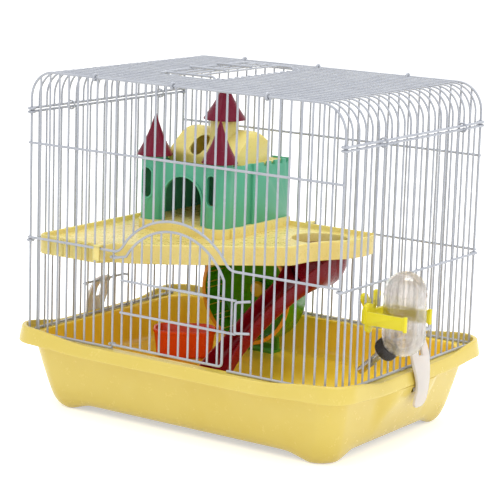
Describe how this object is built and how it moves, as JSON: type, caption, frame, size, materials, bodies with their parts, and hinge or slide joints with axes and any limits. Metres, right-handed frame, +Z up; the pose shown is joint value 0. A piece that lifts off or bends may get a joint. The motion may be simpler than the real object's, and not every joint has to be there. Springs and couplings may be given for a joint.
{
  "type": "small animal cage",
  "caption": "Wire cage for a small pet on a yellow plastic tray, with a castle on a platform, slide, wheel, dish and outside drinking bottle",
  "frame": {"origin": "on the ground under the middle of the whole object, drinking bottle and latches included", "axes": "+Z up, -Y towards the front with the door, +X to the right, the side with the bottle"},
  "size_m": [0.3844, 0.25, 0.3045],
  "materials": {
    "tray_plastic": "moulded pale yellow, glossy",
    "white_wire": "white coated steel wire",
    "platform_plastic": "moulded pale yellow, glossy",
    "castle_plastic": "moulded teal",
    "cone_plastic": "moulded dark red",
    "roof_plastic": "moulded pale yellow",
    "slide_plastic": "moulded deep red",
    "wheel_plastic": "moulded clear green",
    "rim_plastic": "moulded orange",
    "hub_plastic": "moulded yellow",
    "axle_steel": "plain steel",
    "stand_plastic": "moulded clear green",
    "dish_plastic": "moulded orange red",
    "bottle_plastic": "clear plastic",
    "seal_rubber": "white silicone",
    "cap_plastic": "moulded black, ribbed",
    "spout_steel": "steel tube",
    "ball_steel": "polished ball",
    "clamp_plastic": "moulded bright yellow",
    "latch_plastic": "moulded translucent white"
  },
  "bodies": {
    "cage": {"tray": "tray_plastic", "front_panel": "white_wire", "back_panel": "white_wire", "left_panel": "white_wire", "right_panel": "white_wire", "top_panel": "white_wire", "corner_hooks": "white_wire", "platform": "platform_plastic", "castle_walls": "castle_plastic", "left_cone": "cone_plastic", "right_cone": "cone_plastic", "castle_roof": "roof_plastic", "top_cone": "cone_plastic", "slide": "slide_plastic", "wheel_stand": "stand_plastic", "wheel_axle": "axle_steel", "bottle_clamp": "clamp_plastic"},
    "door": {"front_door": "white_wire", "door_latch": "white_wire"},
    "hatch": {"top_hatch": "white_wire"},
    "left_catch": {"left_latch": "latch_plastic"},
    "right_catch": {"right_latch": "latch_plastic"},
    "running_wheel": {"wheel_drum": "wheel_plastic", "wheel_rim": "rim_plastic", "hub_cap": "hub_plastic"},
    "food_dish": {"dish": "dish_plastic"},
    "water_bottle": {"bottle": "bottle_plastic"},
    "screw_cap": {"bottle_cap": "cap_plastic", "bottle_seal": "seal_rubber", "spout": "spout_steel"},
    "valve_ball": {"spout_ball": "ball_steel"},
    "clamp_nut": {"wing_nut": "clamp_plastic"}
  },
  "joints": [
    {"name": "door_swing", "type": "hinge", "parent": "cage", "child": "door", "pos_m": [-0.08115, -0.111, 0.11], "axis": [0, 0, -1], "range_deg": [0, 110]},
    {"name": "hatch_swing", "type": "hinge", "parent": "cage", "child": "hatch", "pos_m": [-0.02305, 0.0151, 0.2978], "axis": [0, 1, 0], "range_deg": [0, 110]},
    {"name": "left_latch_swing", "type": "hinge", "parent": "cage", "child": "left_catch", "pos_m": [-0.17915, 0, 0.0976], "axis": [0, 1, 0], "range_deg": [0, 100]},
    {"name": "right_latch_swing", "type": "hinge", "parent": "cage", "child": "right_catch", "pos_m": [0.15105, 0, 0.0976], "axis": [0, -1, 0], "range_deg": [0, 100]},
    {"name": "wheel_spin", "type": "hinge", "parent": "cage", "child": "running_wheel", "pos_m": [-0.05855, 0.072, 0.093], "axis": [0, 1, 0], "continuous": true},
    {"name": "dish_lift", "type": "slide", "parent": "cage", "child": "food_dish", "axis": [0, 0, 1], "range_m": [0, 0.05]},
    {"name": "bottle_pull", "type": "slide", "parent": "cage", "child": "water_bottle", "axis": [0.7314, 0, 0.682], "range_m": [0, 0.06]},
    {"name": "cap_turn", "type": "hinge", "parent": "water_bottle", "child": "screw_cap", "pos_m": [0.15932, -0.0555, 0.09736], "axis": [0.7314, 0, 0.682], "continuous": true},
    {"name": "ball_push", "type": "slide", "parent": "screw_cap", "child": "valve_ball", "axis": [0.7314, 0, 0.682], "range_m": [0, 0.002]},
    {"name": "nut_turn", "type": "hinge", "parent": "cage", "child": "clamp_nut", "pos_m": [0.14195, -0.0555, 0.1245], "axis": [1, 0, 0], "continuous": true}
  ]
}
